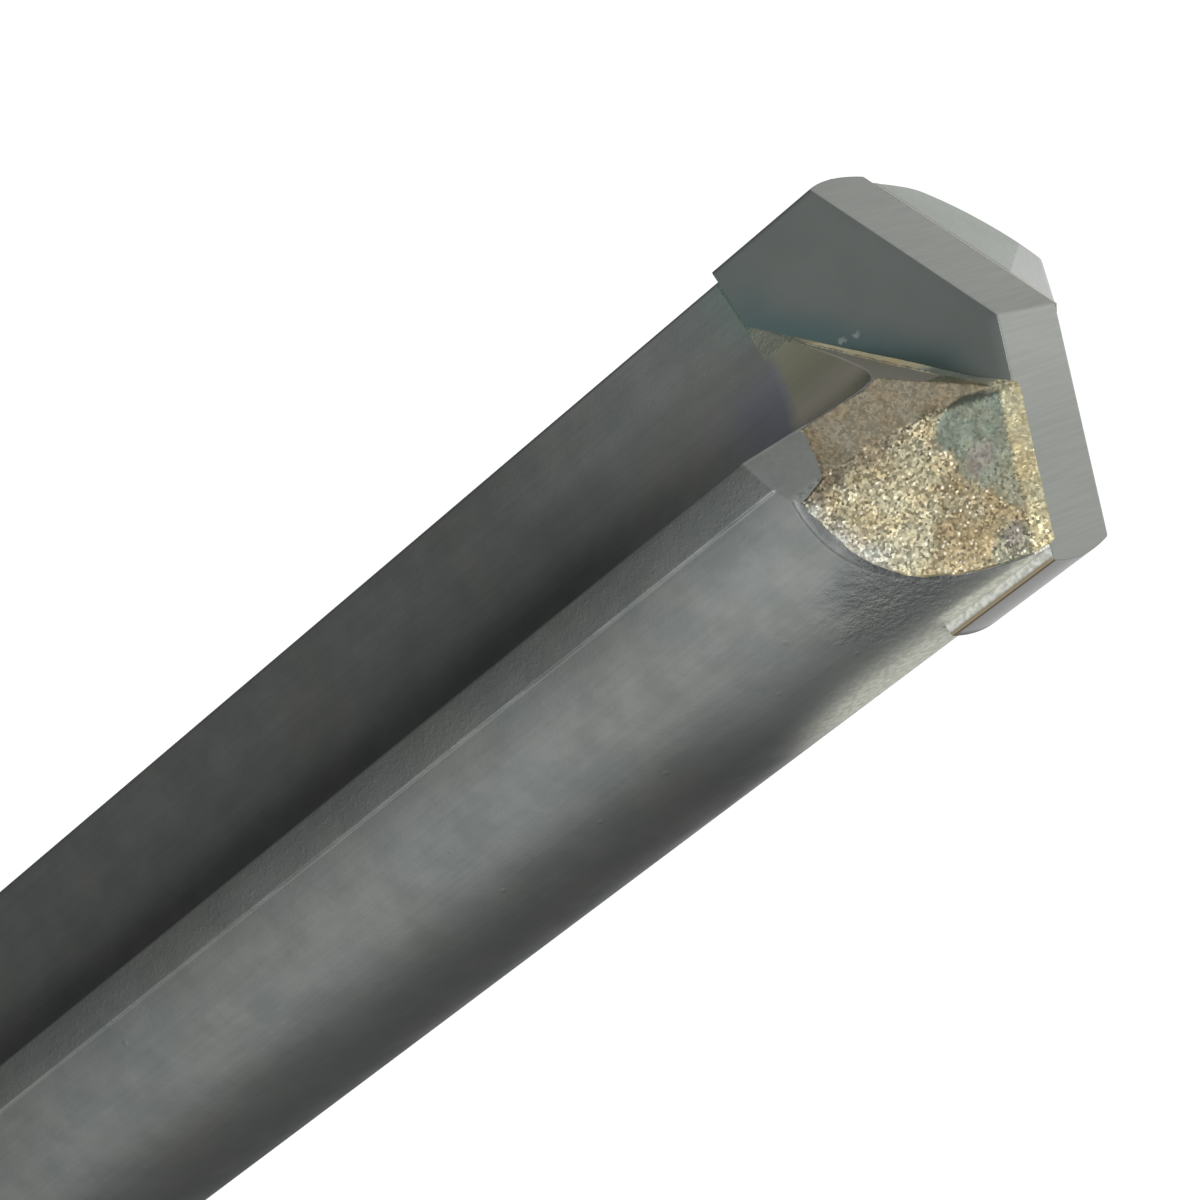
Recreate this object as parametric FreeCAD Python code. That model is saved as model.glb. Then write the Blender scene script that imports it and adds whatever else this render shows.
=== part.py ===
import FreeCAD, Part
import math
import os
from FreeCAD import Vector

# Carbide-tipped drill bit for masonry, standing on the end of its shank.
# Units are millimetres. Z runs along the axis towards the tip.
# The origin is the centre of the shank's end.
# X runs along the width of the carbide plate and Y through its thickness.
# The side at minus Y is called near and the side at plus Y far.
# The bit cuts turning clockwise, seen from the shank.

# Bar
overall_length = 120.0
body_diameter = 9.5
shank_diameter = 9.0
shank_length = 38.0
shank_chamfer = 0.5
shoulder_height = 0.25
collar_length = 2.0

# Carbide plate
cut_diameter = 10.0
point_angle = 132.0
flank_clearance = 1.8
plate_thickness = 2.45
plate_side_height = 3.25

# Slot and braze
braze_gap = 0.08
bead_width = 0.18
bead_height = 0.2

# Flutes
flute_wall_offset = 0.42
flute_corner_radius = 1.2
flute_floor_radius = 4.5
flute_floor_offset = 3.4
flute_cutter_radius = 30.0
margin_width = 0.92
margin_height = 0.05

# Turned nose of the bar, ahead of which nothing of the steel reaches
nose_angle = 96.6
nose_shoulder_height = 0.2

# Ground facets of the near land: the drop from the cutting corner, then the tilt along X and along Y
gold_facet_drop = 0.15
gold_facet_fall = 24.0
gold_facet_lean = 57.0
gold_facet_wheel_radius = 23.5
brown_facet_drop = 3.04
brown_facet_rise = 15.2
brown_facet_lean = 48.4

# Gashes that clear the steel in front of each cutting edge
gash_angle = 45.0
near_gash_height = 0.05
near_gash_lean = 5.0
far_gash_height = 2.29
far_gash_lean = 47.3

# Small facet honed into the far land beside the chisel edge
honed_facet_start = 0.7
honed_facet_rise = 20.0
honed_facet_lean = 3.6

# Values worked out from the sizes above
shank_radius = shank_diameter / 2
body_radius = body_diameter / 2
flute_start = shank_length + collar_length
cut_radius = cut_diameter / 2
half_plate = plate_thickness / 2
slot_half = half_plate + braze_gap
corner_x = math.sqrt(cut_radius**2 - half_plate**2)
roof_slope = 1 / math.tan(math.radians(point_angle / 2))
clearance_slope = math.tan(math.radians(flank_clearance))
roof_rise = roof_slope * corner_x - clearance_slope * half_plate
corner_z = overall_length - roof_rise
plate_bottom = corner_z - plate_side_height
slot_bottom = plate_bottom - braze_gap
cutter_height = flute_cutter_radius + half_plate - body_radius
run_out_length = math.sqrt(flute_cutter_radius**2 - cutter_height**2)
reach = 2 * max(cut_diameter, body_diameter)


def tangent(degrees):
    """The slope of a line that rises by this angle."""
    return math.tan(math.radians(degrees))


def above_plane(x, y, z, slope_x, slope_y):
    """Everything above a tilted plane through the point x, y, z."""
    corners = []
    for side_x, side_y in ((-reach, -reach), (reach, -reach), (reach, reach), (-reach, reach)):
        height = z + slope_x * (side_x - x) + slope_y * (side_y - y)
        corners.append(Vector(side_x, side_y, height))
    face = Part.Face(Part.makePolygon(corners + corners[:1]))
    return face.extrude(Vector(0, 0, 4 * reach))


def block(x_low, x_high, y_low, y_high, z_low, z_high):
    """A plain block between two corners."""
    return Part.makeBox(x_high - x_low, y_high - y_low, z_high - z_low, Vector(x_low, y_low, z_low))


def half_turn(shape):
    """A copy turned by half a turn about the axis."""
    copy = shape.copy()
    copy.rotate(Vector(0, 0, 0), Vector(0, 0, 1), 180)
    return copy


def roof_cutters():
    """The two ground flanks of the point. Each falls from its cutting edge towards its heel."""
    near_edge = above_plane(-corner_x, -half_plate, corner_z, roof_slope, -clearance_slope)
    return [near_edge, half_turn(near_edge)]


def arc(centre, radius, first_angle, last_angle):
    """An arc of the flute's section, with its angles in radians from X."""
    points = []
    for angle in (first_angle, (first_angle + last_angle) / 2, last_angle):
        points.append(centre + Vector(radius * math.cos(angle), radius * math.sin(angle), 0))
    return Part.Arc(*points).toShape()


def flute_section():
    """The near flute's section: a wall, a round corner and a hollow floor that ends flush with the plate."""
    outside = -body_radius - 1.0
    floor_centre = Vector(-flute_floor_offset, -half_plate - flute_floor_radius, 0)
    across = flute_floor_offset - flute_wall_offset - flute_corner_radius
    spacing = flute_floor_radius - flute_corner_radius
    blend = math.acos(across / spacing)
    corner_centre = floor_centre + Vector(across, spacing * math.sin(blend), 0)
    wall_top = corner_centre + Vector(flute_corner_radius, 0, 0)
    wall_foot = Vector(-flute_wall_offset, outside, 0)
    floor_end = floor_centre + Vector(0, flute_floor_radius, 0)
    floor_rim = Vector(outside, -half_plate, 0)
    outer_corner = Vector(outside, outside, 0)
    edges = [
        Part.LineSegment(wall_foot, wall_top).toShape(),
        arc(corner_centre, flute_corner_radius, 0, blend),
        arc(floor_centre, flute_floor_radius, blend, math.pi / 2),
        Part.LineSegment(floor_end, floor_rim).toShape(),
        Part.LineSegment(floor_rim, outer_corner).toShape(),
        Part.LineSegment(outer_corner, wall_foot).toShape(),
    ]
    return Part.Face(Part.Wire(edges))


def flute_cutter():
    """The near flute: its section drawn straight to the tip, and swung out of the bar above the collar."""
    start = flute_start + run_out_length
    section = flute_section()
    section.translate(Vector(0, 0, start))
    straight = section.extrude(Vector(0, 0, overall_length - start + 1.0))
    wheel_centre = Vector(0, -half_plate - flute_cutter_radius, start)
    run_out = section.revolve(wheel_centre, Vector(-1, 0, 0), 90)
    return straight.fuse(run_out)


def margin_wedge():
    """A wedge of round bar that stands proud of the near land, from inside the flute across the margin."""
    ridge = math.degrees(math.asin(flute_wall_offset / body_radius))
    inside_flute = 3.0
    sweep = inside_flute + math.degrees(margin_width / body_radius)
    base = Vector(0, 0, flute_start)
    wedge = Part.makeCylinder(body_radius + margin_height, corner_z - flute_start, base, Vector(0, 0, 1), sweep)
    wedge.rotate(Vector(0, 0, 0), Vector(0, 0, 1), -90 - ridge - inside_flute)
    return wedge


def gold_facet():
    """The hollow-ground facet behind the near land's heel, cut by a wheel that starts at the plate's face."""
    along = Vector(1, 0, -tangent(gold_facet_fall)).normalize()
    outwards = Vector(tangent(gold_facet_fall), -tangent(gold_facet_lean), 1).normalize()
    touch = Vector(corner_x, -half_plate, corner_z - gold_facet_drop)
    wheel_end = touch + outwards * gold_facet_wheel_radius - along * reach
    return Part.makeCylinder(gold_facet_wheel_radius, 2 * reach, wheel_end, along)


def brown_facet():
    """The second ground facet of the near land, on the side of the flute."""
    rim_y = -math.sqrt(body_radius**2 - flute_wall_offset**2)
    slope_x = tangent(brown_facet_rise)
    slope_y = tangent(brown_facet_lean)
    return above_plane(-flute_wall_offset, rim_y, corner_z - brown_facet_drop, slope_x, slope_y)


def near_gash(extra_height=0.0, extra_slope=0.0):
    """The cut that bares the near rake face above a slanting line, down to the plate."""
    slope_y = tangent(near_gash_lean) + extra_slope
    height = corner_z + near_gash_height + extra_height
    cutter = above_plane(0, -half_plate, height, tangent(gash_angle), slope_y)
    return cutter.common(block(-reach, reach, -reach, -half_plate, 0, 2 * overall_length))


def beyond_plate(cutter):
    """The share of a cutter that lies past the plate's far face."""
    return cutter.common(block(-reach, reach, half_plate, reach, 0, 2 * overall_length))


def far_gash():
    """The same cut on the far side, ground less deep and leaning outwards."""
    height = corner_z + far_gash_height
    return beyond_plate(above_plane(0, half_plate, height, -tangent(gash_angle), -tangent(far_gash_lean)))


def honed_facet():
    """The small bright facet where the far land's flank reaches the chisel edge."""
    height = corner_z + roof_slope * (corner_x - honed_facet_start) - clearance_slope * plate_thickness
    slope_x = tangent(honed_facet_rise)
    slope_y = -tangent(honed_facet_lean)
    return beyond_plate(above_plane(-honed_facet_start, half_plate, height, slope_x, slope_y))


def turned_bar():
    """The plain bar before any cut: chamfered shank, shoulder, body and turned nose."""
    nose_slope = tangent(90 - nose_angle / 2)
    shoulder = corner_z + nose_shoulder_height
    points = [
        Vector(0, 0, 0),
        Vector(shank_radius - shank_chamfer, 0, 0),
        Vector(shank_radius, 0, shank_chamfer),
        Vector(shank_radius, 0, shank_length),
        Vector(body_radius, 0, shank_length + shoulder_height),
        Vector(body_radius, 0, shoulder),
        Vector(0, 0, shoulder + nose_slope * body_radius),
    ]
    outline = Part.Face(Part.makePolygon(points + points[:1]))
    return outline.revolve(Vector(0, 0, 0), Vector(0, 0, 1), 360)


def drill_body():
    """The steel bar with its head, flutes, margins, slot and ground facets, in one piece."""
    margin = margin_wedge()
    body = turned_bar().fuse(margin).fuse(half_turn(margin))
    body = body.cut(flute_cutter()).cut(half_turn(flute_cutter()))
    for cutter in roof_cutters():
        body = body.cut(cutter)
    body = body.cut(block(-reach, reach, -slot_half, slot_half, slot_bottom, overall_length + 1.0))
    for cutter in (gold_facet(), brown_facet(), near_gash(), far_gash(), honed_facet()):
        body = body.cut(cutter)
    return body.removeSplitter()


def carbide_tip():
    """The carbide plate: a flat plate with a roof-shaped point, its ends ground to the cutting circle."""
    plate = block(-cut_radius, cut_radius, -half_plate, half_plate, plate_bottom, overall_length + 1.0)
    plate = plate.common(Part.makeCylinder(cut_radius, overall_length + 1.0))
    for cutter in roof_cutters():
        plate = plate.cut(cutter)
    return plate.removeSplitter()


def braze_joint(body, plate):
    """The braze that fills the slot round the plate, with its bead along the near face."""
    near_side = -half_plate - bead_width
    joint = block(-reach, reach, near_side, slot_half, slot_bottom, overall_length + 1.0)
    joint = joint.common(Part.makeCylinder(body_radius, overall_length + 1.0))
    bead_rise = bead_height / bead_width
    bead_z = corner_z - gold_facet_drop + bead_height
    bead_slope = tangent(gold_facet_lean) + bead_rise
    bead_top = above_plane(corner_x, -half_plate, bead_z, -tangent(gold_facet_fall), bead_slope)
    cutters = roof_cutters() + [bead_top, near_gash(bead_height / 2, bead_rise), far_gash()]
    for cutter in cutters + [flute_cutter(), half_turn(flute_cutter()), body, plate]:
        joint = joint.cut(cutter)
    largest = max(joint.Solids, key=lambda solid: solid.Volume)
    return largest.removeSplitter()


def main():
    os.makedirs("parts", exist_ok=True)
    body = drill_body()
    plate = carbide_tip()
    joint = braze_joint(body, plate)
    for name, shape in (("drill_body", body), ("carbide_tip", plate), ("braze_joint", joint)):
        print(name, "valid", shape.isValid(), "solids", len(shape.Solids), "volume", round(shape.Volume, 3))
        shape.exportStep("parts/" + name + ".step")


main()
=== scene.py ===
import itertools
import math

import bmesh
import bpy
import numpy as np
from mathutils import Matrix, Vector


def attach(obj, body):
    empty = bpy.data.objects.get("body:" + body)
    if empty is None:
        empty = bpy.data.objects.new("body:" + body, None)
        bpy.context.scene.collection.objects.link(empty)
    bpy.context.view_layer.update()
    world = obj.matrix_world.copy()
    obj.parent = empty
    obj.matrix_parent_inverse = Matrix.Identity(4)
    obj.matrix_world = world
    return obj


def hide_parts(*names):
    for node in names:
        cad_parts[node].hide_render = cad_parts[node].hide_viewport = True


# Finish of the carbide-tipped drill bit. Sizes are millimetres until a mesh is made.
# Z runs along the axis towards the tip, X along the plate's width, Y through its thickness.
# The side at minus Y is called near and the side at plus Y far.
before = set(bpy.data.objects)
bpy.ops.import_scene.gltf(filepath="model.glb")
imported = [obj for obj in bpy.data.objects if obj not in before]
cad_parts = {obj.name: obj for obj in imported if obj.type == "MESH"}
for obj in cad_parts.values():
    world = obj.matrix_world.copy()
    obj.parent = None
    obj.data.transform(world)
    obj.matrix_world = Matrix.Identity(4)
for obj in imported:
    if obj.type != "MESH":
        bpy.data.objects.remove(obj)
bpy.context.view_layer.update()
MM = 0.001

# Sizes of the bar, repeated from the solids
overall_length = 120.0
body_radius = 4.75
shank_radius = 4.5
shank_length = 38.0
shank_chamfer = 0.5
shoulder_height = 0.25
collar_length = 2.0
flute_start = shank_length + collar_length

# Carbide plate, slot and braze
cut_radius = 5.0
point_angle = 132.0
flank_clearance = 1.8
plate_thickness = 2.45
plate_side_height = 3.25
braze_gap = 0.08
half_plate = plate_thickness / 2
slot_half = half_plate + braze_gap
flank_slope = 1 / math.tan(math.radians(point_angle / 2))
clearance_slope = math.tan(math.radians(flank_clearance))
corner_x = math.sqrt(cut_radius**2 - half_plate**2)
corner_z = overall_length - flank_slope * corner_x + clearance_slope * half_plate
plate_bottom = corner_z - plate_side_height
slot_bottom = plate_bottom - braze_gap

# Flutes and margins
flute_wall = 0.42
flute_corner_radius = 1.2
flute_floor_radius = 4.5
flute_floor_offset = 3.4
flute_cutter_radius = 30.0
margin_width = 0.92
margin_height = 0.05
cutter_height = flute_cutter_radius + half_plate - body_radius
flute_full = flute_start + math.sqrt(flute_cutter_radius**2 - cutter_height**2)
flute_spread = flute_floor_offset - flute_wall - flute_corner_radius
flute_spacing = flute_floor_radius - flute_corner_radius
flute_blend = math.acos(flute_spread / flute_spacing)
floor_centre = np.array([-flute_floor_offset, -half_plate - flute_floor_radius])
corner_centre = floor_centre + np.array([flute_spread, flute_spacing * math.sin(flute_blend)])

# Facets of the near land: the drop from the cutting corner, then tilts in degrees
wheel_facet_drop = 0.15
wheel_facet_fall = 24.0
wheel_facet_lean = 57.0
wheel_facet_radius = 23.5
side_facet_drop = 3.04
side_facet_rise = 15.2
side_facet_lean = 48.4

# Gashes, honed facet and turned nose
gash_slope = 1.0
near_gash_height = 0.05
near_gash_lean = 5.0
far_gash_height = 2.29
far_gash_lean = 47.3
honed_facet_start = 0.7
honed_facet_rise = 20.0
honed_facet_lean = 3.6
nose_angle = 96.6
nose_shoulder_height = 0.2

# Softening of the edges
steel_edge = 0.045
facet_blend = 0.05
plate_edge = 0.02
plate_blend = 0.03
plate_corner = 0.05

# Braze coat: its film, its dip into bare steel, and how its shell is set into the head
coat_film = 0.03
coat_dip = 0.03
coat_inset = 0.018
coat_clearance = 0.01
coat_depth = 0.45

# Points along the flute's exact section and along the outline's stretches.
# The land's runs are its margin, the margin's step, the open land and the part past the slot.
SHAPE_POINTS = 400
CORNER_POINTS = 3
FLOOR_POINTS = 46
FACE_POINTS = 84
LAND_RUNS = (16, 10, 68, 12)

# Rings up the bar, which lie closer above this height, and rows over the pieces
RUN_OUT_RINGS = 60
FLUTE_RINGS = 14
HEAD_RINGS = 22
head_rings_start = 97.0
LAND_ROWS = 54
WALL_ROWS = 12
PLATE_END_POINTS = 14
PLATE_SIDE_POINTS = 150
PLATE_ROWS = 40
PLATE_WALL_ROWS = 16
COAT_ROWS = 150
COAT_FINENESS = 2

# Below the full flutes, the points beside the slot drift over this height to these shares
settling_height = 9.0
low_flute_share = 0.36
low_land_share = 0.9

# Where the head's columns start on the slot's wall for the flute's knee and for the ridge
knee_x = -0.973
ridge_partner_x = 0.9

# Painted shading of 1 leaves a colour as it is, and this one is the highest
highest_tone = 2.5


def tangent(degrees):
    return math.tan(math.radians(degrees))


def ramp(low, high, value):
    """0 below low, 1 above high and a smooth rise between."""
    share = np.clip((value - low) / (high - low), 0, 1)
    return share * share * (3 - 2 * share)


def fall(low, high, value):
    """1 below low, 0 above high and a smooth fall between."""
    return 1 - ramp(low, high, value)


def soft_min(first, second, width):
    """The lower of two heights, with a parabola of this width in place of the crease."""
    overlap = np.maximum(width - np.abs(first - second), 0) / width
    return np.minimum(first, second) - overlap * overlap * width / 4


def read_off(value, pairs):
    """A value read off a broken line that is given as pairs, held at its ends."""
    return np.interp(value, *zip(*pairs))


def lattice_noise(points, scale, seed):
    """Smooth noise from -1 to 1: hashed values at a cubic lattice's corners, blended by a smooth step."""
    place = points * scale + 19.7 * seed
    cell = np.floor(place).astype(np.int64)
    share = place - cell
    share = share * share * (3 - 2 * share)
    total = np.zeros(points.shape[:-1])
    for corner in itertools.product((0, 1), repeat=3):
        at = cell + np.array(corner)
        code = at[..., 0] * 73856093 ^ at[..., 1] * 19349663 ^ at[..., 2] * 83492791 ^ seed * 2971
        code = (code ^ (code >> 13)) * 1274126177 & 0x7FFFFFFF
        code = (code ^ (code >> 15)) & 0xFFFF
        weight = np.prod(np.where(np.array(corner) == 1, share, 1 - share), axis=-1)
        total += weight * (code / 32767.5 - 1)
    return total


def ragged(x, y, scale, seed, size):
    """Noise over a plane, in three octaves, for uneven thicknesses and borders of colours."""
    points = np.stack([x, y, np.zeros_like(x)], -1)
    octaves = [lattice_noise(points, scale * 2**octave, seed + octave) / 2**octave for octave in range(3)]
    return size * sum(octaves)


# Heights of the ground facets over the XY plane


def tilted_plane(x, y, at_x, at_y, at_z, slope_x, slope_y):
    """Height of the plane through one point with these slopes."""
    return at_z + slope_x * (x - at_x) + slope_y * (y - at_y)


def near_flank(x, y):
    return tilted_plane(x, y, -corner_x, -half_plate, corner_z, flank_slope, -clearance_slope)


def far_flank(x, y):
    return near_flank(-x, -y)


def point_top(x, y, blend):
    """The roof of the point: the lower of its two flanks."""
    return soft_min(near_flank(x, y), far_flank(x, y), blend)


def wheel_facet(x, y):
    """Height of the hollow-ground facet: the lower side of a cylinder that leans along the fall."""
    sink, lean = tangent(wheel_facet_fall), tangent(wheel_facet_lean)
    along = np.array([1, 0, -sink]) / math.hypot(1, sink)
    outwards = np.array([sink, -lean, 1]) / math.sqrt(sink**2 + lean**2 + 1)
    touch = np.array([corner_x, -half_plate, corner_z - wheel_facet_drop])
    centre = touch + outwards * wheel_facet_radius
    across_x, across_y = x - centre[0], y - centre[1]
    a = 1 - along[2] ** 2
    b = -2 * along[0] * along[2] * across_x
    c = across_x**2 * (1 - along[0] ** 2) + across_y**2 - wheel_facet_radius**2
    root = np.sqrt(np.maximum(b * b - 4 * a * c, 0))
    return centre[2] + (-b - root) / (2 * a)


def side_facet(x, y):
    """Height of the second facet, ground beside the flute from the ridge's foot at the rim."""
    rim_y = -math.sqrt(body_radius**2 - flute_wall**2)
    height = corner_z - side_facet_drop
    return tilted_plane(x, y, -flute_wall, rim_y, height, tangent(side_facet_rise), tangent(side_facet_lean))


def near_gash(x, y):
    height = corner_z + near_gash_height
    return tilted_plane(x, y, 0, -half_plate, height, gash_slope, tangent(near_gash_lean))


def far_gash(x, y):
    height = corner_z + far_gash_height
    return tilted_plane(x, y, 0, half_plate, height, -gash_slope, -tangent(far_gash_lean))


def honed_facet(x, y):
    """The small bright facet where the far land's flank reaches the chisel edge."""
    height = corner_z + flank_slope * (corner_x - honed_facet_start) - clearance_slope * plate_thickness
    slope_x, slope_y = tangent(honed_facet_rise), -tangent(honed_facet_lean)
    return tilted_plane(x, y, -honed_facet_start, half_plate, height, slope_x, slope_y)


def nose_cone(x, y):
    return corner_z + nose_shoulder_height + tangent(90 - nose_angle / 2) * (body_radius - np.hypot(x, y))


def lowest(x, y, facets):
    """The lowest of several facets, with every crease softened."""
    height = facets[0](x, y)
    for facet in facets[1:]:
        height = soft_min(height, facet(x, y), facet_blend)
    return height


def near_land_top(x, y):
    return lowest(x, y, [far_flank, near_flank, nose_cone, wheel_facet, side_facet, near_gash])


def far_land_top(x, y):
    return lowest(x, y, [near_flank, far_flank, nose_cone, far_gash, honed_facet])


# Section of the fluted bar


def arc_points(centre, radius, first, last, count):
    angles = np.linspace(first, last, count)
    return np.stack([centre[0] + radius * np.cos(angles), centre[1] + radius * np.sin(angles)], 1)


def path_lengths(path):
    """The length along a path up to each of its points."""
    return np.concatenate([[0], np.cumsum(np.hypot(*np.diff(path, axis=0).T))])


def resample(path, lengths, at):
    return np.stack([np.interp(at, lengths, path[:, 0]), np.interp(at, lengths, path[:, 1])], 1)


def rounded_corner(before, corner, after, count):
    """The points inside a parabolic corner from before to after."""
    share = np.linspace(0, 1, count + 2)[1:-1, None]
    return (1 - share) ** 2 * before + 2 * share * (1 - share) * corner + share**2 * after


def flute_line():
    """The near flute's section from beyond its rim to beyond the ridge: flat, hollow, corner and wall."""
    outside = -body_radius - 1
    count = SHAPE_POINTS
    flat = np.stack([np.linspace(outside, -flute_floor_offset, count), np.full(count, -half_plate)], 1)
    hollow = arc_points(floor_centre, flute_floor_radius, math.pi / 2, flute_blend, count)
    corner = arc_points(corner_centre, flute_corner_radius, flute_blend, 0, count)
    wall = np.stack([np.full(count, -flute_wall), np.linspace(corner_centre[1], outside, count)], 1)
    return np.concatenate([flat, hollow[1:], corner[1:], wall[1:]])


flute_shape = flute_line()


def flute_at(z):
    """The flute's section at a height: full above flute_full, and swung out by the cutter below it."""
    centre_y = -half_plate - flute_cutter_radius
    drop = max(0.0, flute_full - z)
    reach = flute_shape[:, 1] - centre_y
    return np.stack([flute_shape[:, 0], centre_y + np.sqrt(np.maximum(reach**2 - drop**2, 0))], 1)


def bar_radius(angle, ridge_angle):
    """Radius of the land at an angle: raised by margin_height from the ridge across the margin's width."""
    along = (angle - ridge_angle) * body_radius
    return body_radius + margin_height * fall(margin_width - 0.05, margin_width + 0.03, along)


def half_section(z):
    """Half of the bar's outline at a height: rim, flute, ridge and land, and its two places at the slot."""
    line = flute_at(z)
    lengths = path_lengths(line)
    depth = body_radius - np.hypot(line[:, 0], line[:, 1])
    inside = np.flatnonzero(depth > 0)
    if len(inside) < 12:
        return None
    first, last = inside[0], inside[-1]
    start = np.interp(0, depth[first - 1 : first + 1], lengths[first - 1 : first + 1])
    end_share = depth[last] / (depth[last] - depth[last + 1])
    end = lengths[last] + end_share * (lengths[last + 1] - lengths[last])
    rim, ridge = resample(line, lengths, np.array([start, end]))
    edge = min(steel_edge, (end - start) / 5)
    raised = margin_height if z > flute_start else 0.0
    settled = ramp(flute_full - settling_height, flute_full, z)

    hollow = slice(SHAPE_POINTS, 2 * SHAPE_POINTS)
    foot = np.interp(slot_half, -line[hollow, 1], lengths[hollow])
    slot_share = (foot - start - edge) / (end - start - 2 * edge)
    slot_share = low_flute_share + (slot_share - low_flute_share) * settled
    floor_shares = np.linspace(0, slot_share, FLOOR_POINTS)
    shares = np.concatenate([floor_shares, np.linspace(slot_share, 1, FACE_POINTS)[1:]])
    end_inner = end + raised
    flute = resample(line, lengths, start + edge + shares * (end_inner - start - 2 * edge))

    ridge_angle = math.atan2(ridge[1], ridge[0])
    span = math.atan2(rim[1], rim[0]) + math.pi - ridge_angle
    slot_angle = -math.asin(slot_half / body_radius) - ridge_angle
    slot_angle = low_land_share * span + (slot_angle - low_land_share * span) * settled
    turn = edge / body_radius
    margin_end = margin_width / body_radius
    stops = [turn, 0.88 * margin_end, 1.12 * margin_end, slot_angle, span - turn]
    runs = [np.linspace(low, high, count + 1)[:-1] for low, high, count in zip(stops, stops[1:], LAND_RUNS)]
    angles = ridge_angle + np.concatenate(runs + [stops[-1:]])
    radius = bar_radius(angles, ridge_angle) if raised else np.full(len(angles), body_radius)
    land = np.stack([radius * np.cos(angles), radius * np.sin(angles)], 1)

    corner_ridge = resample(line, lengths, np.array([end_inner]))
    ridge_corner = rounded_corner(flute[-1], corner_ridge, land[0], CORNER_POINTS)
    rim_corner = rounded_corner(-land[-1], rim, flute[0], CORNER_POINTS)
    slot_low = CORNER_POINTS + FLOOR_POINTS - 1
    slot_high = CORNER_POINTS + len(flute) + CORNER_POINTS + sum(LAND_RUNS[:3])
    return np.concatenate([rim_corner, flute, ridge_corner, land]), (slot_low, slot_high)


def both_halves(half):
    """The bar's whole outline: one half and its copy turned by half a turn."""
    return np.concatenate([half, -half])


# Outline where the flutes are full, and its stretch round the near land from slot to slot
half_outline, (slot_first, slot_last) = half_section(flute_full + 1)
land_path = half_outline[slot_first : slot_last + 1]


# Meshes


def grid_faces(rows, columns, closed=False):
    """Quads of a grid of points whose rows follow each other; closed joins each row's end to its start."""
    index = np.arange(rows * columns).reshape(rows, columns)
    following = np.roll(index, -1, axis=1) if closed else index[:, 1:]
    low = index if closed else index[:, :-1]
    return np.stack([low[:-1], following[:-1], following[1:], low[1:]], -1).reshape(-1, 4)


def new_object(name, data):
    """An object in the scene that holds this mesh, camera or light."""
    item = bpy.data.objects.new(name, data)
    bpy.context.scene.collection.objects.link(item)
    return item


def make_mesh(name, points, quads, caps, weld=0.0005, sharp=40.0):
    """A mesh object from points in millimetres, four-sided faces and flat end faces."""
    mesh = bpy.data.meshes.new(name)
    mesh.from_pydata((points * MM).tolist(), [], quads.tolist() + [cap.tolist() for cap in caps])
    work = bmesh.new()
    work.from_mesh(mesh)
    bmesh.ops.remove_doubles(work, verts=work.verts, dist=weld * MM)
    bmesh.ops.dissolve_degenerate(work, edges=work.edges, dist=weld * MM * 0.2)
    bmesh.ops.triangulate(work, faces=[f for f in work.faces if len(f.verts) > 4])
    bmesh.ops.recalc_face_normals(work, faces=work.faces)
    work.to_mesh(mesh)
    work.free()
    mesh.shade_smooth()
    mesh.set_sharp_from_angle(angle=math.radians(sharp))
    return new_object(name, mesh)


def inward(path, inside):
    """Unit normals of a path, each turned towards a point inside."""
    along = np.gradient(path, axis=0)
    normal = np.stack([-along[:, 1], along[:, 0]], 1)
    normal /= np.maximum(np.hypot(normal[:, 0], normal[:, 1]), 1e-9)[:, None]
    side = np.sign(((inside - path) * normal).sum(1))
    return normal * np.where(side == 0, 1, side)[:, None]


def column_rows(low, high, low_normal, high_normal, foot, top, edge, inner_rows, wall_rows):
    """Rows of a block with a shaped top, from the foot of one wall over the top to the foot of the other.

    Each top point lies on the line from low to high. A quarter turn of the edge's radius joins wall and top.
    """
    width = np.hypot(*(high - low).T)
    radius = np.minimum(edge, 0.3 * width)[:, None]
    shares = np.linspace(0, 1, wall_rows)

    def rounded(path, normal):
        result = []
        for turn in np.radians([0, 30, 60, 90]):
            xy = path + normal * radius * (1 - math.cos(turn))
            z = top(xy[:, 0], xy[:, 1]) - radius[:, 0] * (1 - math.sin(turn))
            result.append(np.column_stack([xy, z]))
        return result

    def wall(path, crest):
        return [np.column_stack([path, foot + (crest - foot) * share]) for share in shares[:-1]]

    low_edge, high_edge = rounded(low, low_normal), rounded(high, high_normal)
    rows = wall(low, low_edge[0][:, 2]) + low_edge
    for share in np.linspace(0, 1, inner_rows)[1:-1]:
        xy = (1 - share) * low_edge[-1][:, :2] + share * high_edge[-1][:, :2]
        rows.append(np.column_stack([xy, top(xy[:, 0], xy[:, 1])]))
    rows += high_edge[::-1] + wall(high, high_edge[0][:, 2])[::-1]
    return np.array(rows)


def slot_partner(path):
    """The point on the slot's wall that each point of the land's outline is joined to across the top."""
    lengths = path_lengths(path)
    ridge = FACE_POINTS + 1
    knee = int(np.argmin(np.abs(path[:ridge, 0] - knee_x)))
    marks = [lengths[0], lengths[knee], lengths[ridge], lengths[-1]]
    x = np.interp(lengths, marks, [path[0, 0], path[knee, 0], ridge_partner_x, path[-1, 0]])
    return np.column_stack([x, np.linspace(path[0, 1], path[-1, 1], len(path))])


def land_rows(top):
    """A land's head between the slot and the outline, drawn as the near one."""
    low = slot_partner(land_path)
    towards = np.column_stack([np.zeros(len(low)), -np.ones(len(low))])
    outline_normal = inward(land_path, low)
    return column_rows(low, land_path, towards, outline_normal, slot_bottom, top,
                       steel_edge, LAND_ROWS, WALL_ROWS)


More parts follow.
